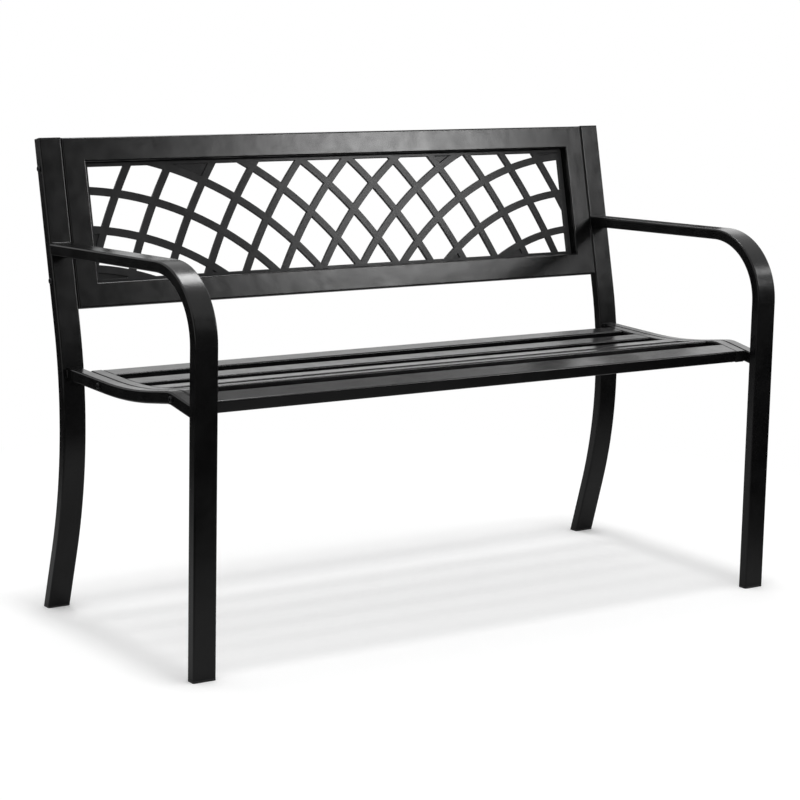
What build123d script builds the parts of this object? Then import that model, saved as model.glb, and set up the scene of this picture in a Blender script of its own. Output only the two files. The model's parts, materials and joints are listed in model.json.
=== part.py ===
from build123d import *
from math import ceil, cos, hypot, radians, sin, tan
import os

# Metal garden bench: two welded side frames, a bolted seat panel and a bolted back frame
# that holds a moulded lattice. X runs to the viewer's right, the front faces -Y, Z is up,
# and the origin is on the floor in the middle of the bench. Lengths are in millimetres
# and angles in degrees.

# Overall size
bench_width = 1283
bench_depth = 586
bench_height = 851

# Flat tube of the side frames and the back frame
tube_width = 44
tube_depth = 20
tube_corner = 3
tube_wall = 1

# Deeper tube of the seat: wide in the slats, narrow in the seat rails and the end bars
slat_width = 44
rail_width = 24
seat_tube_depth = 22

# Front leg and armrest, one bent tube
leg_rake_angle = 1.2
arm_height = 685.7
arm_bend_radius = 120
arm_fall_angle = 2.75

# Rear leg and back post, one bent tube
post_lean_angle = 13.8
leg_kick_angle = 14.7
leg_bend_radius = 834
leg_bend_height = 523

# Seat line, seen from the side: the middle of the seat rails
seat_height = 450
seat_hollow_setback = 335
seat_hollow_radius = 880
seat_rear_angle = 1
seat_crest_angle = 9.1
seat_crest_run = 59
seat_crest_radius = 60
seat_front_angle = 9.4

# Seat panel, measured along the seat line
slat_count = 5
slat_gap = 40.4
panel_setback = 31.5

# Back frame, measured up the lean of the posts
back_frame_height = 306
back_frame_drop = 0.8

# Lattice panel
window_side_border = 10.8
window_top_border = 7.1
lattice_setback = 17
lattice_thickness = 5
lattice_bar_width = 14.5
smallest_opening = 14
web_thickness = 2
filled_gap_offset = 320
panel_clearance = 0.5
flange_thickness = 3
flange_overlap = 12

# Two fans of curved bars, each about a point outside and below a lower corner of the window
falling_centre_outset = 48.5
falling_centre_drop = 470.6
falling_first_radius = 491.9
falling_pitch = 70.5
rising_centre_outset = 37.5
rising_centre_drop = 409.5
rising_first_radius = 456.3
rising_pitch = 75.1

# Bolts and the threaded inserts that they screw into
bolt_radius = 3
bolt_hole_clearance = 0.4
bolt_head_radius = 5.5
bolt_head_height = 3.3
bolt_head_round = 1.5
bolt_socket_radius = 2.3
bolt_socket_sides = 6
bolt_socket_depth = 2
bolt_tip = 3
insert_radius = 4.4
insert_length = 13
insert_flange_radius = 6.5
insert_fit = 0.1
joint_gap = 0.8
seat_bolt_setback = 86
seat_bolt_pitch = 252
back_bolt_pitch = 200

# Screws of the lattice panel
screw_radius = 1.75
screw_length = 10
screw_hole_clearance = 0.2
screw_head_radius = 3.5
screw_head_height = 2
screw_head_chamfer = 0.8
screw_end_inset = 70
screws_in_a_row = 4

# Plastic feet, post caps and end plugs
foot_flange = 4
cap_flange = 3
cap_round = 0.8
plug_reach = 15
plug_fit = 0.2
plug_wall = 1.5
end_plug_flange = 1.5

# Every cut runs this far past what it cuts
overrun = 30

quarter_turn = 90
LEFT = -1
RIGHT = 1
SIDES = ((LEFT, "left"), (RIGHT, "right"))

os.makedirs("parts", exist_ok=True)


def finish(builder, name):
    """Names a finished piece and writes it to its own file."""
    builder.part.label = name
    export_step(builder.part, f"parts/{name}.step")


def up_slope(angle):
    """Direction that points up and leans towards the rear by an angle."""
    return Vector(0, sin(radians(angle)), cos(radians(angle)))


def rounded_tube(plane, width, depth):
    """Hollow tube section with rounded corners."""
    with BuildSketch(plane) as section:
        RectangleRounded(width, depth, tube_corner)
        RectangleRounded(
            width - 2 * tube_wall,
            depth - 2 * tube_wall,
            tube_corner - tube_wall,
            mode=Mode.SUBTRACT,
        )
    return section.sketch


def along(line, distance):
    """Point and direction on a line, at a distance from its end."""
    place = line.length - distance
    point = line.position_at(place, position_mode=PositionMode.LENGTH)
    heading = line.tangent_at(place, position_mode=PositionMode.LENGTH)
    return point, heading


# Lines that the side frames follow
front_face = -bench_depth / 2
leg_x = (bench_width - tube_width) / 2
front_foot_y = front_face + tube_depth / 2 / cos(radians(leg_rake_angle))


def front_leg_y(height):
    """Middle of a front leg at a height."""
    return front_foot_y + height * tan(radians(leg_rake_angle))


arm_bend_height = arm_height - tube_depth / 2 - arm_bend_radius * (1 - sin(radians(leg_rake_angle)))

post_up = up_slope(post_lean_angle)
post_face_top = Vector(0, bench_depth / 2 - tube_depth * cos(radians(post_lean_angle)), bench_height)
post_normal = Vector(0, -cos(radians(post_lean_angle)), sin(radians(post_lean_angle)))
post_top = post_face_top - post_normal * (tube_depth / 2)
leg_bend_start = post_top - post_up * ((post_top.Z - leg_bend_height) / post_up.Z)


def post_y(height):
    """Middle of a back post, or of its line drawn on downwards, at a height."""
    return post_top.Y - (post_top.Z - height) * tan(radians(post_lean_angle))


def rear_leg_line(x):
    """Middle of a rear leg and post, from the top of the post to below the floor."""
    with BuildLine(Plane.YZ.offset(x)) as line:
        post = Line((post_top.Y, post_top.Z), (leg_bend_start.Y, leg_bend_start.Z))
        bend = JernArc(post @ 1, post % 1, leg_bend_radius, post_lean_angle + leg_kick_angle)
        leg_run = ((bend @ 1).Z + overrun) / cos(radians(leg_kick_angle))
        Line(bend @ 1, bend @ 1 + (bend % 1) * leg_run)
    return line.wire()


def front_leg_line(x):
    """Middle of a front leg and armrest, from below the floor to the middle of the post."""
    with BuildLine(Plane.YZ.offset(x)) as line:
        leg = Line(
            (front_leg_y(-overrun), -overrun),
            (front_leg_y(arm_bend_height), arm_bend_height),
        )
        bend = JernArc(leg @ 1, leg % 1, arm_bend_radius, leg_rake_angle - arm_fall_angle - quarter_turn)
        fall = radians(arm_fall_angle)
        closing = cos(fall) + sin(fall) * tan(radians(post_lean_angle))
        arm_run = (post_y((bend @ 1).Z) - (bend @ 1).Y) / closing
        Line(bend @ 1, bend @ 1 + (bend % 1) * arm_run)
    return line.wire()


def seat_line(x):
    """Middle of a seat rail, from inside the rear leg to inside the front leg."""
    hollow_y = front_face + seat_hollow_setback
    hollow_z = seat_height - seat_tube_depth / 2
    fall = radians(seat_front_angle)
    with BuildLine(Plane.YZ.offset(x)) as line:
        rear_run = post_y(seat_height) - hollow_y
        rear = Line(
            (hollow_y + rear_run, hollow_z + rear_run * tan(radians(seat_rear_angle))),
            (hollow_y, hollow_z),
        )
        hollow_turn = seat_rear_angle + seat_crest_angle
        hollow = JernArc(rear @ 1, rear % 1, seat_hollow_radius, -hollow_turn)
        rise = Line(hollow @ 1, hollow @ 1 + (hollow % 1) * seat_crest_run)
        crest_turn = seat_crest_angle + seat_front_angle
        crest = JernArc(rise @ 1, rise % 1, seat_crest_radius, crest_turn)
        crest_end = crest @ 1
        closing = cos(fall) - sin(fall) * tan(radians(leg_rake_angle))
        front_run = (crest_end.Y - front_leg_y(crest_end.Z)) / closing
        Line(crest_end, crest_end + (crest % 1) * front_run)
    return line.wire()


def leg_blank(line):
    """Solid bar along a leg, that cuts the tubes welded to it to their joint."""
    start = Plane(origin=line @ 0, x_dir=(1, 0, 0), z_dir=line % 0)
    with BuildPart() as blank:
        with BuildSketch(start) as section:
            Rectangle(tube_width, tube_depth)
        sweep(sections=section.sketch, path=line)
    return blank.part


# Places of the bolts, on the outer face of what each one is driven into
rail_x = leg_x
rail_outer_x = rail_x + rail_width / 2
rail_inner_x = rail_x - rail_width / 2
end_bar_outer_x = rail_inner_x - joint_gap
end_bar_x = end_bar_outer_x - rail_width / 2
slat_half_length = end_bar_outer_x - rail_width
post_outer_x = leg_x + tube_width / 2
back_frame_half_width = leg_x - tube_width / 2 - joint_gap

middle_line = seat_line(0)
seat_bolt_points = [
    along(middle_line, seat_bolt_setback)[0],
    along(middle_line, seat_bolt_setback + seat_bolt_pitch)[0],
]

back_centre = post_face_top - post_up * (back_frame_height / 2 + back_frame_drop)
back_plane = Plane(origin=back_centre, x_dir=(1, 0, 0), z_dir=post_normal)
back_middle = back_centre - post_normal * (tube_depth / 2)
back_bolt_points = [
    back_middle - post_up * (back_bolt_pitch / 2),
    back_middle + post_up * (back_bolt_pitch / 2),
]


def outward_planes(points, x):
    """A plane at each point on both sides of the bench, facing outwards."""
    return [
        Plane(origin=(side * x, point.Y, point.Z), z_dir=(side, 0, 0))
        for side, side_name in SIDES
        for point in points
    ]


def pegs(points, x, radius, start, depth):
    """Round pegs across the bench, used to drill holes: from start to depth below x."""
    with BuildPart() as group:
        for plane in outward_planes(points, x - start):
            with BuildSketch(plane):
                Circle(radius)
            extrude(amount=-(depth - start))
    return group.part


bolt_drill_radius = bolt_radius + bolt_hole_clearance
insert_drill_radius = insert_radius + insert_fit

post_drill = pegs(back_bolt_points, post_outer_x, bolt_drill_radius, -overrun, tube_width + overrun)
rail_drill = pegs(seat_bolt_points, rail_outer_x, bolt_drill_radius, -overrun, rail_width + overrun)

# Front legs with armrests, rear legs with posts, and seat rails
for side, side_name in SIDES:
    rear_line = rear_leg_line(side * leg_x)
    front_line = front_leg_line(side * leg_x)
    rail_line = seat_line(side * rail_x)
    rear_blank = leg_blank(rear_line)
    front_blank = leg_blank(front_line)
    leg_start = Plane(origin=front_line @ 0, x_dir=(1, 0, 0), z_dir=front_line % 0)
    post_start = Plane(origin=rear_line @ 0, x_dir=(1, 0, 0), z_dir=rear_line % 0)
    rail_start = Plane(origin=rail_line @ 0, x_dir=(1, 0, 0), z_dir=rail_line % 0)

    with BuildPart() as front_leg_arm:
        sweep(sections=rounded_tube(leg_start, tube_width, tube_depth), path=front_line)
        split(bisect_by=Plane.XY.offset(foot_flange), keep=Keep.TOP)
        add(rear_blank, mode=Mode.SUBTRACT)
    finish(front_leg_arm, f"{side_name}_front_leg_arm")

    with BuildPart() as rear_leg_post:
        sweep(sections=rounded_tube(post_start, tube_width, tube_depth), path=rear_line)
        split(bisect_by=Plane.XY.offset(foot_flange), keep=Keep.TOP)
        split(bisect_by=post_start.offset(cap_flange), keep=Keep.TOP)
        add(post_drill, mode=Mode.SUBTRACT)
    finish(rear_leg_post, f"{side_name}_rear_leg_post")

    with BuildPart() as seat_rail:
        sweep(sections=rounded_tube(rail_start, rail_width, seat_tube_depth), path=rail_line)
        add(rear_blank, mode=Mode.SUBTRACT)
        add(front_blank, mode=Mode.SUBTRACT)
        add(rail_drill, mode=Mode.SUBTRACT)
    finish(seat_rail, f"{side_name}_seat_rail")

# Plastic feet: a floor pad as wide as the tube and a hollow plug up inside it
plug_width = tube_width - 2 * tube_wall - 2 * plug_fit
plug_depth = tube_depth - 2 * tube_wall - 2 * plug_fit
plug_corner = tube_corner - tube_wall - plug_fit
rear_foot = rear_leg_line(0) @ 1
feet = (
    ("front", Vector(0, front_foot_y, 0), up_slope(leg_rake_angle)),
    ("rear", rear_foot, up_slope(-leg_kick_angle)),
)
for side, side_name in SIDES:
    for end_name, point, leg_up in feet:
        floor_point = point - leg_up * (point.Z / leg_up.Z) + Vector(side * leg_x, 0, 0)
        pad_rise = leg_up * (foot_flange / leg_up.Z)
        with BuildPart() as foot:
            with BuildSketch(Plane(origin=floor_point)):
                RectangleRounded(tube_width, tube_depth / leg_up.Z, tube_corner)
            extrude(amount=pad_rise.length, dir=leg_up)
            with BuildSketch(Plane(origin=floor_point + pad_rise)):
                RectangleRounded(plug_width, plug_depth, plug_corner)
                Rectangle(plug_width - 2 * plug_wall, plug_depth - 2 * plug_wall, mode=Mode.SUBTRACT)
            extrude(amount=plug_reach, dir=leg_up)
        finish(foot, f"{side_name}_{end_name}_foot")

# Caps on the posts
for side, side_name in SIDES:
    cap_plane = Plane(origin=post_top + Vector(side * leg_x, 0, 0), x_dir=(1, 0, 0), z_dir=post_up)
    with BuildPart() as post_cap:
        with BuildSketch(cap_plane):
            RectangleRounded(tube_width, tube_depth, tube_corner)
        extrude(amount=-cap_flange)
        fillet(post_cap.faces().sort_by(Axis(post_top, post_up))[-1].edges(), cap_round)
        with BuildSketch(cap_plane.offset(-cap_flange)):
            RectangleRounded(plug_width, plug_depth, plug_corner)
            Rectangle(plug_width - 2 * plug_wall, plug_depth - 2 * plug_wall, mode=Mode.SUBTRACT)
        extrude(amount=-plug_reach)
    finish(post_cap, f"{side_name}_post_cap")

# Seat slats, each square to the seat line
panel_length = slat_count * slat_width + (slat_count - 1) * slat_gap
for number in range(slat_count):
    distance = panel_setback + slat_width / 2 + number * (slat_width + slat_gap)
    point, heading = along(middle_line, distance)
    slat_end = Vector(-slat_half_length, point.Y, point.Z)
    slat_section = Plane(origin=slat_end, x_dir=heading, z_dir=(1, 0, 0))
    with BuildPart() as slat:
        extrude(rounded_tube(slat_section, slat_width, seat_tube_depth), 2 * slat_half_length)
    finish(slat, f"seat_slat_{number + 1}")

# End bars that carry the slats, cut square at the panel's front and rear
panel_front, front_heading = along(middle_line, panel_setback)
panel_rear, rear_heading = along(middle_line, panel_setback + panel_length)
front_cut = Plane(origin=panel_front, x_dir=(1, 0, 0), z_dir=-front_heading)
rear_cut = Plane(origin=panel_rear, x_dir=(1, 0, 0), z_dir=rear_heading)
insert_drill = pegs(seat_bolt_points, end_bar_outer_x, insert_drill_radius, -overrun, rail_width / 2)
for side, side_name in SIDES:
    bar_line = seat_line(side * end_bar_x)
    bar_start = Plane(origin=bar_line @ 0, x_dir=(1, 0, 0), z_dir=bar_line % 0)
    with BuildPart() as end_bar:
        sweep(sections=rounded_tube(bar_start, rail_width, seat_tube_depth), path=bar_line)
        split(bisect_by=front_cut.offset(end_plug_flange), keep=Keep.TOP)
        split(bisect_by=rear_cut.offset(end_plug_flange), keep=Keep.TOP)
        add(insert_drill, mode=Mode.SUBTRACT)
    finish(end_bar, f"{side_name}_seat_end_bar")

# Plugs in the ends of the end bars
end_plug_width = rail_width - 2 * tube_wall - 2 * plug_fit
end_plug_depth = seat_tube_depth - 2 * tube_wall - 2 * plug_fit
with BuildPart() as end_plugs:
    for side, side_name in SIDES:
        for cut in (front_cut, rear_cut):
            middle = cut.origin + Vector(side * end_bar_x, 0, 0)
            end = Plane(origin=middle, x_dir=(1, 0, 0), z_dir=cut.z_dir)
            with BuildSketch(end):
                RectangleRounded(rail_width, seat_tube_depth, tube_corner)
            extrude(amount=end_plug_flange)
            with BuildSketch(end.offset(end_plug_flange)):
                RectangleRounded(end_plug_width, end_plug_depth, plug_corner)
            extrude(amount=plug_reach)
finish(end_plugs, "seat_end_bar_plugs")


# Back frame: four tubes mitred at the corners
def mitre_plane(side, rise):
    """Cut through a corner of the back frame, with the rail on its upper side."""
    corner = back_plane.from_local_coords((side * back_frame_half_width, rise * back_frame_height / 2))
    return Plane(origin=corner, x_dir=post_normal, z_dir=Vector(-side, 0, 0) + post_up * rise)


opening_width = 2 * (back_frame_half_width - tube_width)
opening_height = back_frame_height - 2 * tube_width
flange_plane = back_plane.offset(-tube_depth - flange_thickness)

# The lattice's screws: a row above, a row below and one at each side
screw_column = (opening_width + flange_overlap) / 2
screw_row = (opening_height + flange_overlap) / 2
screw_places = [(-screw_column, 0), (screw_column, 0)]
first_screw_x = screw_end_inset - opening_width / 2 - flange_overlap
for number in range(screws_in_a_row):
    screw_x = first_screw_x * (1 - 2 * number / (screws_in_a_row - 1))
    screw_places += [(screw_x, -screw_row), (screw_x, screw_row)]

with BuildPart() as screw_drill:
    with BuildSketch(flange_plane.offset(-overrun)):
        with Locations(screw_places):
            Circle(screw_radius + screw_hole_clearance)
    extrude(amount=overrun + screw_length)

stile_drill = pegs(
    back_bolt_points, back_frame_half_width, insert_drill_radius, -overrun, tube_width / 2
)
for rise, rail_name in ((1, "back_top_rail"), (-1, "back_bottom_rail")):
    rail_end = back_plane.from_local_coords(
        (-back_frame_half_width, rise * (back_frame_height - tube_width) / 2, -tube_depth / 2)
    )
    rail_section = Plane(origin=rail_end, x_dir=post_up, z_dir=(1, 0, 0))
    with BuildPart() as back_rail:
        extrude(rounded_tube(rail_section, tube_width, tube_depth), 2 * back_frame_half_width)
        split(bisect_by=mitre_plane(LEFT, rise), keep=Keep.TOP)
        split(bisect_by=mitre_plane(RIGHT, rise), keep=Keep.TOP)
        add(screw_drill.part, mode=Mode.SUBTRACT)
    finish(back_rail, rail_name)

for side, side_name in SIDES:
    stile_end = back_plane.from_local_coords(
        (side * (back_frame_half_width - tube_width / 2), -back_frame_height / 2, -tube_depth / 2)
    )
    stile_section = Plane(origin=stile_end, x_dir=(1, 0, 0), z_dir=post_up)
    with BuildPart() as stile:
        extrude(rounded_tube(stile_section, tube_width, tube_depth), back_frame_height)
        split(bisect_by=mitre_plane(side, 1), keep=Keep.BOTTOM)
        split(bisect_by=mitre_plane(side, -1), keep=Keep.BOTTOM)
        add(screw_drill.part, mode=Mode.SUBTRACT)
        add(stile_drill, mode=Mode.SUBTRACT)
    finish(stile, f"{side_name}_back_stile")

# Lattice panel: a plate with the gaps between two crossing fans of curved bars
window_width = opening_width - 2 * window_side_border
window_height = opening_height - 2 * window_top_border


def bar_fan(side, outset, drop, first_radius, pitch):
    """Curved bars about a point outside and below a lower corner of the window, cut to it."""
    middle = (side * (window_width / 2 + outset), -window_height / 2 - drop)
    reach = hypot(window_width + outset, window_height + drop)
    bar_count = ceil((reach - first_radius) / pitch)
    with BuildSketch() as fan:
        with Locations(middle):
            for number in reversed(range(bar_count)):
                radius = first_radius + number * pitch
                Circle(radius + lattice_bar_width / 2)
                Circle(radius - lattice_bar_width / 2, mode=Mode.SUBTRACT)
        Rectangle(window_width, window_height, mode=Mode.INTERSECT)
    return fan.sketch


with BuildSketch() as gaps:
    Rectangle(window_width, window_height)
    add(
        bar_fan(LEFT, falling_centre_outset, falling_centre_drop, falling_first_radius, falling_pitch),
        mode=Mode.SUBTRACT,
    )
    add(
        bar_fan(RIGHT, rising_centre_outset, rising_centre_drop, rising_first_radius, rising_pitch),
        mode=Mode.SUBTRACT,
    )


def mean_width(gap):
    """Width of a gap, from its area and the length of its edge."""
    return 2 * gap.area / (gap.outer_wire().length / 2)


# A gap that is too narrow to mould is a pocket with a thin web behind it, and so is one gap
# by the top rail, to the left of the middle
filled_gap_place = (LEFT * filled_gap_offset, window_height / 2)
pockets = gaps.faces().sort_by_distance(filled_gap_place)[:1]
pockets += [gap for gap in gaps.faces() if mean_width(gap) < smallest_opening]
with BuildPart() as lattice_panel:
    with BuildSketch(back_plane.offset(-lattice_setback)):
        Rectangle(opening_width - 2 * panel_clearance, opening_height - 2 * panel_clearance)
        add(gaps.sketch, mode=Mode.SUBTRACT)
    extrude(amount=-lattice_thickness)
    with BuildSketch(back_plane.offset(-lattice_setback - lattice_thickness)):
        add(pockets)
    extrude(amount=web_thickness)
    with BuildSketch(flange_plane):
        Rectangle(opening_width + 2 * flange_overlap, opening_height + 2 * flange_overlap)
        Rectangle(window_width, window_height, mode=Mode.SUBTRACT)
    extrude(amount=flange_thickness)
    add(screw_drill.part, mode=Mode.SUBTRACT)
finish(lattice_panel, "lattice_panel")
print("gaps in the lattice:", len(gaps.faces()), "of which", len(pockets), "are pockets")

# Screws that hold the lattice to the back of the frame
with BuildPart() as screw:
    with BuildSketch():
        Circle(screw_head_radius)
    extrude(amount=screw_head_height)
    chamfer(screw.edges().sort_by(Axis.Z)[-1], screw_head_chamfer)
    with BuildSketch():
        Circle(screw_radius)
    extrude(amount=-screw_length)

with BuildPart() as screws:
    for place in screw_places:
        seat = flange_plane.from_local_coords(place)
        with Locations(Plane(origin=seat, x_dir=(1, 0, 0), z_dir=-post_normal)):
            add(screw.part)
finish(screws, "lattice_screws")


# Bolts and threaded inserts of the seat and the back
def button_bolt(grip):
    """Bolt with a button head and a hexagon socket, its shank pointing down."""
    with BuildPart() as bolt:
        with BuildSketch():
            Circle(bolt_head_radius)
        extrude(amount=bolt_head_height)
        fillet(bolt.edges().sort_by(Axis.Z)[-1], bolt_head_round)
        with BuildSketch(Plane.XY.offset(bolt_head_height)):
            RegularPolygon(bolt_socket_radius, bolt_socket_sides)
        extrude(amount=-bolt_socket_depth, mode=Mode.SUBTRACT)
        with BuildSketch():
            Circle(bolt_radius)
        extrude(amount=-grip - insert_length - bolt_tip)
    return bolt.part


with BuildPart() as insert:
    with BuildSketch():
        Circle(insert_flange_radius)
    extrude(amount=joint_gap)
    with BuildSketch():
        Circle(insert_radius)
    extrude(amount=-insert_length)
    Hole(bolt_radius + insert_fit)

fixings = (
    ("seat_bolts", button_bolt(rail_width + joint_gap), seat_bolt_points, rail_outer_x),
    ("seat_inserts", insert.part, seat_bolt_points, end_bar_outer_x),
    ("back_bolts", button_bolt(tube_width + joint_gap), back_bolt_points, post_outer_x),
    ("back_inserts", insert.part, back_bolt_points, back_frame_half_width),
)
for name, fixing, points, x in fixings:
    with BuildPart() as group:
        for plane in outward_planes(points, x):
            with Locations(plane):
                add(fixing)
    finish(group, name)
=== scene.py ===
# %% [markdown]
# A tubular steel garden bench
#
# The bench is two bent side frames, a slatted seat panel and a back frame round a lattice.
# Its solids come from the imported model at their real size, in metres. This lesson gives
# them their finishes, adds the weld beads and the moulded edges that a solid model leaves
# out, and lights the bench as a product photographer lights black paint. All lengths are
# in metres unless they are multiplied by mm.

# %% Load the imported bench
import json
import math

import bpy
from mathutils import Matrix, Vector


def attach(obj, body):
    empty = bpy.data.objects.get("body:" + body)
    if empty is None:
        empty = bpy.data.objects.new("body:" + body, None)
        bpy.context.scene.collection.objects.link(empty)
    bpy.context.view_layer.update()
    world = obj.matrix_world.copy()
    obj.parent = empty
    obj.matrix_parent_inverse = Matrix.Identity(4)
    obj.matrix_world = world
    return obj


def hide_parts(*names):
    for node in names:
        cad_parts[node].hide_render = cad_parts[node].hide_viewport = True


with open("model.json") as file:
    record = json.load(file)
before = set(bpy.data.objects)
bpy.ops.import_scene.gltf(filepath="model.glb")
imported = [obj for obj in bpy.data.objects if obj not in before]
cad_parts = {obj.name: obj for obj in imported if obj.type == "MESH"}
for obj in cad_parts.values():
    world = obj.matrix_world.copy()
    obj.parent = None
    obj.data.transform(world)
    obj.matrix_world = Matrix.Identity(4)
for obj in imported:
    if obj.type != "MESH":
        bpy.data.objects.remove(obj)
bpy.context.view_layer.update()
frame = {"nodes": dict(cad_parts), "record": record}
nodes = frame["nodes"]
mm = 0.001

# %% [markdown]
# A finish is a small graph of nodes. Every finish on this bench starts from the same one:
# a base colour, a roughness that drifts a little over the surface, and a bump. The drift
# and the bump read Object coordinates. All the pieces share one origin, so the pattern
# runs on from one tube to the next and stays put when the bench is turned. An image texture
# would need unwrapping and would show its seams on the long tubes.

# %% A finish from noise
noise_floor = 0.3
noise_ceiling = 0.7
usual_drift = 0.06
usual_specular = 0.5


def add_node(material, kind, **values):
    """Adds a node to a material and sets its inputs by name."""
    node = material.node_tree.nodes.new(kind)
    for name, value in values.items():
        node.inputs[name.replace("_", " ")].default_value = value
    return node


def noise(material, feature, detail=2.0, stretch=(1, 1, 1)):
    """Noise whose lumps are about one feature size across, in metres."""
    links = material.node_tree.links
    place = add_node(material, "ShaderNodeTexCoord")
    mapping = add_node(material, "ShaderNodeMapping", Scale=stretch)
    texture = add_node(material, "ShaderNodeTexNoise", Scale=1 / feature, Detail=detail)
    links.new(place.outputs["Object"], mapping.inputs["Vector"])
    links.new(mapping.outputs["Vector"], texture.inputs["Vector"])
    return texture.outputs["Fac"]


def spread(material, factor, low, high):
    """Stretches the middle of a noise to run from low to high."""
    reach = add_node(material, "ShaderNodeMapRange")
    reach.inputs["From Min"].default_value = noise_floor
    reach.inputs["From Max"].default_value = noise_ceiling
    reach.inputs["To Min"].default_value = low
    reach.inputs["To Max"].default_value = high
    material.node_tree.links.new(factor, reach.inputs["Value"])
    return reach.outputs["Result"]


def finish(
    name, dark, light, rough, bumps, metallic=0.0, specular=usual_specular, drift=usual_drift
):
    """A finish: two close colours, a roughness range and bumps of (feature, height)."""
    material = bpy.data.materials.new(name)
    material.use_nodes = True
    links = material.node_tree.links
    surface = material.node_tree.nodes["Principled BSDF"]
    surface.inputs["Metallic"].default_value = metallic
    surface.inputs["Specular IOR Level"].default_value = specular

    blend = add_node(material, "ShaderNodeMix")
    blend.data_type = "RGBA"
    blend.inputs["A"].default_value = (*dark, 1)
    blend.inputs["B"].default_value = (*light, 1)
    links.new(spread(material, noise(material, drift), 0, 1), blend.inputs["Factor"])
    links.new(blend.outputs["Result"], surface.inputs["Base Color"])
    links.new(spread(material, noise(material, drift / 2), *rough), surface.inputs["Roughness"])

    normal = None
    for feature, height in bumps:
        bump = add_node(material, "ShaderNodeBump", Strength=1.0, Distance=height)
        links.new(noise(material, feature), bump.inputs["Height"])
        if normal:
            links.new(normal, bump.inputs["Normal"])
        normal = bump.outputs["Normal"]
    links.new(normal, surface.inputs["Normal"])
    return material


print("noise is stretched from", noise_floor, "to", noise_ceiling)

# %% [markdown]
# Powder coat is a plastic film baked on the steel. It is satin, not glossy, and never quite
# flat: it flows into soft waves a few centimetres long, with a fine orange peel on top. The
# waves are what break up a long reflection on a flat tube, so they are in the bump.
#
# The lattice is moulded in black plastic, a little greyer and much less shiny than the paint,
# so it stays even where the frame round it glares. The plugs are matt, and the fixings are
# plain steel, black where they show and zinc plated inside.

# %% Powder coat, plastic and steel
powder_coat = finish(
    "satin_powder_coat",
    dark=(0.0017, 0.0017, 0.0018),
    light=(0.0032, 0.0032, 0.0034),
    rough=(0.2, 0.26),
    bumps=((0.045, 0.35 * mm), (0.004, 0.02 * mm), (0.0012, 0.004 * mm)),
    specular=0.3,
)
lattice_plastic = finish(
    "moulded_lattice_plastic",
    dark=(0.027, 0.027, 0.0275),
    light=(0.035, 0.035, 0.0355),
    rough=(0.14, 0.18),
    bumps=((0.02, 0.06 * mm), (0.003, 0.004 * mm)),
    specular=0.05,
    drift=0.03,
)
plug_plastic = finish(
    "matt_plug_plastic",
    dark=(0.002, 0.002, 0.0022),
    light=(0.004, 0.004, 0.0044),
    rough=(0.5, 0.62),
    bumps=((0.0015, 0.03 * mm),),
    specular=0.3,
)
black_steel = finish(
    "black_oxide_steel",
    dark=(0.012, 0.012, 0.013),
    light=(0.035, 0.035, 0.037),
    rough=(0.28, 0.42),
    bumps=((0.002, 0.02 * mm),),
    metallic=0.8,
    drift=0.004,
)
zinc_steel = finish(
    "zinc_plated_steel",
    dark=(0.42, 0.42, 0.44),
    light=(0.6, 0.6, 0.6),
    rough=(0.25, 0.45),
    bumps=((0.003, 0.02 * mm),),
    metallic=1.0,
    drift=0.006,
)
finishes = {
    "frame_paint": powder_coat,
    "seat_paint": powder_coat,
    "lattice_plastic": lattice_plastic,
    "plug_plastic": plug_plastic,
    "black_fixings": black_steel,
    "zinc_inserts": zinc_steel,
}
for subpart in frame["record"]["subparts"]:
    mesh = nodes[subpart["node"]].data
    mesh.materials.clear()
    mesh.materials.append(finishes[subpart["material_slot"]])
print("finishes:", sorted(finishes))

# %% [markdown]
# The lattice is one plastic moulding. A mould can't hold a knife edge, so the bars are
# rounded over, which gives them their dark rims and pale middles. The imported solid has
# square bars. A bevel modifier would round its screw holes too and shrink to fit the
# shortest edge there, so a copy is rounded in edit mode instead, and only round the rims of
# its broad front face. Weighted normals then keep the bars flat between their round edges:
# plain smoothing would shade every bar like a rope.

# %% Lattice panel with moulded edges
rim_round = 1.2 * mm
round_steps = 3
same_place = 0.02 * mm
flat_angle = math.radians(1)
rim_angle = math.radians(35)
same_way = 0.9
front_axis = Vector((0, -1, 0))


def merged_copy(node, name):
    """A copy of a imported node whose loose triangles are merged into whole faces."""
    bpy.ops.object.select_all(action="DESELECT")
    piece = bpy.data.objects.new(name, nodes[node].data.copy())
    bpy.context.scene.collection.objects.link(piece)
    piece.select_set(True)
    bpy.context.view_layer.objects.active = piece
    bpy.ops.object.mode_set(mode="EDIT")
    bpy.ops.mesh.select_all(action="SELECT")
    bpy.ops.mesh.remove_doubles(threshold=same_place)
    bpy.ops.mesh.dissolve_limited(angle_limit=flat_angle)
    bpy.ops.object.mode_set(mode="OBJECT")
    return piece


def round_rim(piece, facing, amount):
    """Rounds the rim of the broadest flat side that faces one way."""
    bpy.ops.object.mode_set(mode="EDIT")
    bpy.ops.mesh.select_mode(type="FACE")
    bpy.ops.mesh.select_all(action="DESELECT")
    bpy.ops.object.mode_set(mode="OBJECT")
    faces = [face for face in piece.data.polygons if face.normal.dot(facing) > same_way]
    broadest = max(faces, key=lambda face: face.area)
    level = broadest.center.dot(broadest.normal)
    for face in faces:
        face.select = abs(face.center.dot(broadest.normal) - level) < same_place
    bpy.ops.object.mode_set(mode="EDIT")
    bpy.ops.mesh.region_to_loop()
    bpy.ops.mesh.bevel(offset=amount, segments=round_steps, affect="EDGES", clamp_overlap=False)
    bpy.ops.object.mode_set(mode="OBJECT")


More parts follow.
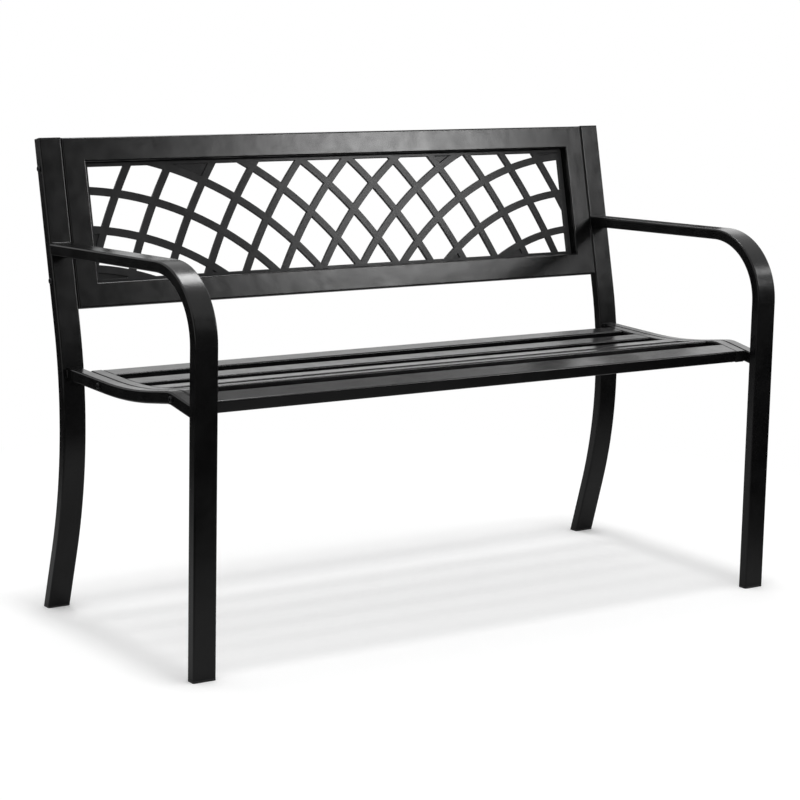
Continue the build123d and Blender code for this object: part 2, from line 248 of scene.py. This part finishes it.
lattice = merged_copy("lattice_panel", "moulded_lattice")
round_rim(lattice, front_axis, rim_round)
bpy.ops.object.shade_smooth_by_angle(angle=rim_angle)
lattice.modifiers.new("flat_bars", "WEIGHTED_NORMAL").keep_sharp = True
bpy.ops.object.modifier_apply(modifier="flat_bars")
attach(lattice, "root")
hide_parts("lattice_panel")
print("lattice faces:", len(lattice.data.polygons))

# %% [markdown]
# The tubes are welded before they are painted. A hand weld is a row of overlapping puddles,
# so one bead is a small disc, extruded over and over with a swell and a pinch each time.
# It could be a displaced cylinder, but a mesh of few rings is lighter and keeps its shape in
# every view. The paint covers it like the tube.

# %% One weld bead
bead_radius = 1.7 * mm
ripple_pitch = 2.1 * mm
bead_sides = 10
tip_share = 0.55
swell = 1.22
bead_angle = math.radians(60)
quarter_turn = math.pi / 2


def weld_bead(length):
    """A bead of some length along X, with its middle at the origin."""
    bpy.ops.object.select_all(action="DESELECT")
    bpy.ops.mesh.primitive_circle_add(
        vertices=bead_sides,
        radius=bead_radius * tip_share,
        fill_type="NGON",
        location=(-length / 2, 0, 0),
        rotation=(0, quarter_turn, 0),
    )
    bead = bpy.context.object
    bpy.ops.object.transform_apply(location=True, rotation=True, scale=True)
    bpy.ops.object.mode_set(mode="EDIT")
    bpy.ops.mesh.select_all(action="SELECT")
    ripples = max(2, round(length / ripple_pitch))
    growth = [1 / tip_share] + [swell, 1 / swell] * ripples + [tip_share]
    step = length / len(growth)
    for count, grow in enumerate(growth, start=1):
        bpy.ops.mesh.extrude_region_move(TRANSFORM_OT_translate={"value": (step, 0, 0)})
        ring_middle = (count * step - length / 2, 0, 0)
        bpy.ops.transform.resize(value=(1, grow, grow), center_override=ring_middle)
    bpy.ops.mesh.select_all(action="SELECT")
    bpy.ops.mesh.normals_make_consistent(inside=False)
    bpy.ops.object.mode_set(mode="OBJECT")
    bpy.ops.object.shade_smooth_by_angle(angle=bead_angle)
    return bead


print("ripples in a centimetre of bead:", round(10 * mm / ripple_pitch, 1))

# %% [markdown]
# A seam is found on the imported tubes: the end face of a tube gives its middle, its two
# directions and its size, and a bead lies along each side of that end that is welded. The
# armrests are welded above and below, the seat rails on all sides but the top. The slats
# are welded underneath, with short beads that nobody sees, so that the seat stays smooth.

# %% Weld beads on the seams
side_axis = Vector((1, 0, 0))
end_reach = 10 * mm
corner_gap = 4 * mm
hidden_gap = 10 * mm
slats = 5


def tube_end(node, outwards, across):
    """Middle of a tube's end face, and its half width and half depth as vectors."""
    mesh = nodes[node].data
    reach = max(vertex.co.dot(outwards) for vertex in mesh.vertices) - end_reach
    faces = [
        face
        for face in mesh.polygons
        if face.normal.dot(outwards) > same_way and face.center.dot(outwards) > reach
    ]
    facing = sum((face.normal * face.area for face in faces), Vector()).normalized()
    across = (across - across.dot(facing) * facing).normalized()
    up = facing.cross(across)
    if up.z < 0:
        up = -up
    points = [mesh.vertices[index].co for face in faces for index in face.vertices]
    middle = sum(points, Vector()) / len(points)
    half = []
    for direction in (across, up):
        spans = [(point - middle).dot(direction) for point in points]
        middle = middle + direction * (max(spans) + min(spans)) / 2
        half.append(direction * (max(spans) - min(spans)) / 2)
    return middle, half[0], half[1]


def lay_bead(start, end, gap):
    """Lays a bead from one point to another, less a gap at each end for the corners."""
    along = end - start
    bead = weld_bead(along.length - 2 * gap)
    turn = side_axis.rotation_difference(along).to_matrix().to_4x4()
    bead.data.transform(Matrix.Translation((start + end) / 2) @ turn)
    return bead


def weld_end(node, outwards, across, sides, gap=corner_gap):
    """Beads along the named sides of a tube's end."""
    middle, width, depth = tube_end(node, outwards, across)
    edges = {
        "above": (middle + depth - width, middle + depth + width),
        "below": (middle - depth - width, middle - depth + width),
        "left": (middle - width - depth, middle - width + depth),
        "right": (middle + width - depth, middle + width + depth),
    }
    return [lay_bead(*edges[side], gap) for side in sides]


def weld_group(name, beads, slot):
    """Joins the beads of one welded unit into a piece in its own paint."""
    bpy.ops.object.select_all(action="DESELECT")
    for bead in beads:
        bead.select_set(True)
    bpy.context.view_layer.objects.active = beads[0]
    bpy.ops.object.join()
    piece = bpy.context.object
    piece.name = name
    piece.data.materials.append(finishes[slot])
    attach(piece, "root")
    print(name, "of", len(beads), "beads")


for side in ("left", "right"):
    beads = weld_end(f"{side}_front_leg_arm", -front_axis, side_axis, ("above", "below"))
    for outwards in (front_axis, -front_axis):
        three_sides = ("below", "left", "right")
        beads += weld_end(f"{side}_seat_rail", outwards, side_axis, three_sides)
    weld_group(f"{side}_frame_welds", beads, "frame_paint")

beads = []
for count in range(1, slats + 1):
    for outwards in (side_axis, -side_axis):
        beads += weld_end(f"seat_slat_{count}", outwards, front_axis, ("below",), hidden_gap)
weld_group("seat_panel_welds", beads, "seat_paint")

# %% [markdown]
# The floor is a wide pale sheet. Near the bench it is lit, so it keeps the bench's shadow.
# Further out it fades to the white of the background, for the camera and for reflections
# alike, so that the paint mirrors the same white that the picture shows. A little of that
# white is added to the lit part too, which keeps the shadow as light as the photo has it.

# %% Floor
floor_half = 30
floor_white = 0.93
floor_rough = 0.9
lit_radius = 0.85
white_radius = 1.5
shadow_lift = 0.12


def seen_ray(material):
    """One for rays from the camera and for rays in a reflection or a clear thing."""
    links = material.node_tree.links
    path = add_node(material, "ShaderNodeLightPath")
    seen = path.outputs["Is Camera Ray"]
    for name in ("Is Glossy Ray", "Is Transmission Ray"):
        either = add_node(material, "ShaderNodeMath")
        either.operation = "MAXIMUM"
        links.new(seen, either.inputs[0])
        links.new(path.outputs[name], either.inputs[1])
        seen = either.outputs["Value"]
    return seen


def fade_outwards(material, near, far, first=0.0, last=1.0):
    """Runs from one value to another with the distance from the object's middle."""
    links = material.node_tree.links
    place = add_node(material, "ShaderNodeTexCoord")
    radius = add_node(material, "ShaderNodeVectorMath")
    radius.operation = "LENGTH"
    links.new(place.outputs["Object"], radius.inputs[0])
    fade = add_node(material, "ShaderNodeMapRange")
    fade.inputs["From Min"].default_value = near
    fade.inputs["From Max"].default_value = far
    fade.inputs["To Min"].default_value = first
    fade.inputs["To Max"].default_value = last
    links.new(radius.outputs["Value"], fade.inputs["Value"])
    return fade.outputs["Result"]


def floor_finish():
    """White floor, lit in the middle and plain white far out."""
    material = bpy.data.materials.new("pale_floor")
    material.use_nodes = True
    links = material.node_tree.links
    surface = material.node_tree.nodes["Principled BSDF"]
    surface.inputs["Base Color"].default_value = (floor_white, floor_white, floor_white, 1)
    surface.inputs["Roughness"].default_value = floor_rough
    surface.inputs["Specular IOR Level"].default_value = 0.0
    white = add_node(material, "ShaderNodeEmission", Strength=1.0)

    seen = seen_ray(material)
    share = add_node(material, "ShaderNodeMath")
    share.operation = "MULTIPLY"
    links.new(fade_outwards(material, lit_radius, white_radius), share.inputs[0])
    links.new(seen, share.inputs[1])
    lift = add_node(material, "ShaderNodeMath")
    lift.operation = "MULTIPLY"
    lift.inputs[1].default_value = shadow_lift
    links.new(seen, lift.inputs[0])
    glow = add_node(material, "ShaderNodeEmission")
    links.new(lift.outputs["Value"], glow.inputs["Strength"])
    lit = add_node(material, "ShaderNodeAddShader")
    links.new(surface.outputs["BSDF"], lit.inputs[0])
    links.new(glow.outputs["Emission"], lit.inputs[1])
    mix = add_node(material, "ShaderNodeMixShader")
    links.new(share.outputs["Value"], mix.inputs["Fac"])
    links.new(lit.outputs["Shader"], mix.inputs[1])
    links.new(white.outputs["Emission"], mix.inputs[2])
    output = material.node_tree.nodes["Material Output"]
    links.new(mix.outputs["Shader"], output.inputs["Surface"])
    return material


bpy.ops.object.select_all(action="DESELECT")
bpy.ops.mesh.primitive_plane_add(size=2 * floor_half)
floor = bpy.context.object
floor.name = "floor"
floor.data.materials.append(floor_finish())
print("floor:", 2 * floor_half, "m wide")

# %% [markdown]
# The world is the white background. It shows at full strength to the camera and in
# reflections, and lights matt surfaces more gently, so that the lamps shape them.

# %% World
fill_strength = 0.86

world = bpy.data.worlds.new("white_studio")
bpy.context.scene.world = world
world.use_nodes = True
backdrop = world.node_tree.nodes["Background"]
backdrop.inputs["Color"].default_value = (1, 1, 1, 1)
backdrop.inputs["Strength"].default_value = 1.0
fill = add_node(world, "ShaderNodeBackground", Color=(1, 1, 1, 1), Strength=fill_strength)
choice = add_node(world, "ShaderNodeMixShader")
world.node_tree.links.new(seen_ray(world), choice.inputs["Fac"])
world.node_tree.links.new(fill.outputs["Background"], choice.inputs[1])
world.node_tree.links.new(backdrop.outputs["Background"], choice.inputs[2])
world_output = world.node_tree.nodes["World Output"]
world.node_tree.links.new(choice.outputs["Shader"], world_output.inputs["Surface"])
print("world:", world.name, "with a fill of", fill_strength)

# %% [markdown]
# The overhead lamp hangs high, so that the bench's shadow stays between its feet, and is
# small enough to leave soft streaks of light between the slats' shadows. The other lamps
# are there for the paint to mirror. One at the front right glows in the middle of the
# leaning back frame. Two light the bends of the armrests, and a large soft one behind lights
# the right end of the front slat. They show in reflections only, so they throw no shadows of
# their own.

# %% Lamps
overhead_place = Vector((0, 0, 12))
floor_middle = Vector((0, 0, 0))
back_middle = Vector((0, 0.27, 0.7))
left_bend = Vector((-0.64, -0.2, 0.67))
right_bend = Vector((0.64, -0.25, 0.61))


def soft_lamp(name, place, target, width, height, watts):
    """Rectangular lamp that faces a target, with its sides in metres."""
    light = bpy.data.lights.new(name, "AREA")
    light.shape = "RECTANGLE"
    light.size = width
    light.size_y = height
    light.energy = watts
    lamp = bpy.data.objects.new(name, light)
    bpy.context.scene.collection.objects.link(lamp)
    lamp.location = place
    lamp.rotation_euler = (Vector(target) - Vector(place)).to_track_quat("-Z", "Y").to_euler()
    return lamp


soft_lamp("overhead_lamp", overhead_place, floor_middle, width=1.1, height=2.0, watts=330)
mirrored_lamps = (
    soft_lamp("front_lamp", (2.47, -2.93, 2.0), back_middle, width=0.7, height=0.7, watts=36),
    soft_lamp("left_bend_lamp", (0.9, 0.4, 3.2), left_bend, width=0.9, height=0.5, watts=30),
    soft_lamp("right_bend_lamp", (3.15, -2.23, 2.7), right_bend, width=0.5, height=0.5, watts=9),
    soft_lamp("rear_lamp", (4.5, 3.55, 2.75), right_bend, width=2.0, height=2.0, watts=10),
)
for lamp in mirrored_lamps:
    lamp.visible_diffuse = False

# %% [markdown]
# White all round turns black paint grey, so photographers stand dark cards just out of the
# picture for the paint to mirror. These show in reflections only. One stands behind the
# camera, a small one hangs beside the right armrest, and a mat lies under the bench. The
# mat's grey is painted light: grey by the feet and darker outwards, where a floor's light falls
# off.

# %% Dark cards
black_shade = 0.02
grey_shade = 0.13


def card_paint(name, near_shade, far_shade, near=0.0, far=1.0):
    """Matt paint that runs from one shade to another with the distance from its middle."""
    material = bpy.data.materials.new(name)
    material.use_nodes = True
    surface = material.node_tree.nodes["Principled BSDF"]
    surface.inputs["Specular IOR Level"].default_value = 0.0
    shade = fade_outwards(material, near, far, near_shade, far_shade)
    material.node_tree.links.new(shade, surface.inputs["Base Color"])
    return material


def card(name, middle, paint, width, height, turn=None):
    """Card stood up and turned about the upright axis, or laid flat where turn is None."""
    bpy.ops.object.select_all(action="DESELECT")
    bpy.ops.mesh.primitive_plane_add(size=1)
    sheet = bpy.context.object
    sheet.name = name
    sheet.data.transform(Matrix.Diagonal((width, height, 1, 1)))
    place = Matrix.Translation(middle)
    if turn is not None:
        place = place @ Matrix.Rotation(turn, 4, "Z") @ Matrix.Rotation(quarter_turn, 4, "X")
    sheet.matrix_world = place
    sheet.data.materials.append(paint)
    sheet.visible_camera = False
    sheet.visible_diffuse = False
    sheet.visible_shadow = False


black_card = card_paint("black_card", black_shade, black_shade)
grey_card = card_paint("grey_card", grey_shade, grey_shade)
# The mat's shades are painted light: grey by the feet and near black further out, standing in for
# the floor's light falling off.
painted_falloff_mat = card_paint("painted_falloff_mat", near_shade=0.55, far_shade=0.01, near=0.8, far=1.65)
armrest_card_middle = (1.14, 0.69, 0.77)
card("front_card", (1.0, -3.6, 1.6), grey_card, width=9.0, height=3.2, turn=0)
card("armrest_card", armrest_card_middle, black_card, width=0.54, height=0.24, turn=quarter_turn)
card("floor_mat", (-0.15, 0.2, 0.004), painted_falloff_mat, width=24, height=24)
meshes = [o for o in bpy.context.scene.objects if o.type == "MESH"]
print("cards:", [o.name for o in meshes if not o.visible_camera])

# %% [markdown]
# The camera stands to the left of the bench at head height, far enough away to flatten it.
# Three turns aim it: to the right, down, and a small roll about its own axis.

# %% Camera
camera_place = Vector((-2.60379, -3.59320, 1.22122))
camera_turn = math.radians(35.59)
camera_down = math.radians(10.84)
camera_roll = math.radians(1.92)
camera_lens = 108.8
film_width = 36
sight_limit = 200

camera = bpy.data.objects.new("camera", bpy.data.cameras.new("camera"))
bpy.context.scene.collection.objects.link(camera)
bpy.context.scene.camera = camera
camera.data.lens = camera_lens
camera.data.sensor_width = film_width
camera.data.clip_end = sight_limit
aim = Matrix.Rotation(-camera_turn, 4, "Z") @ Matrix.Rotation(quarter_turn - camera_down, 4, "X")
camera.matrix_world = Matrix.Translation(camera_place) @ aim @ Matrix.Rotation(camera_roll, 4, "Z")
bpy.context.scene.view_settings.view_transform = "Standard"
print("camera:", camera_lens, "mm lens at", [round(side, 2) for side in camera_place])
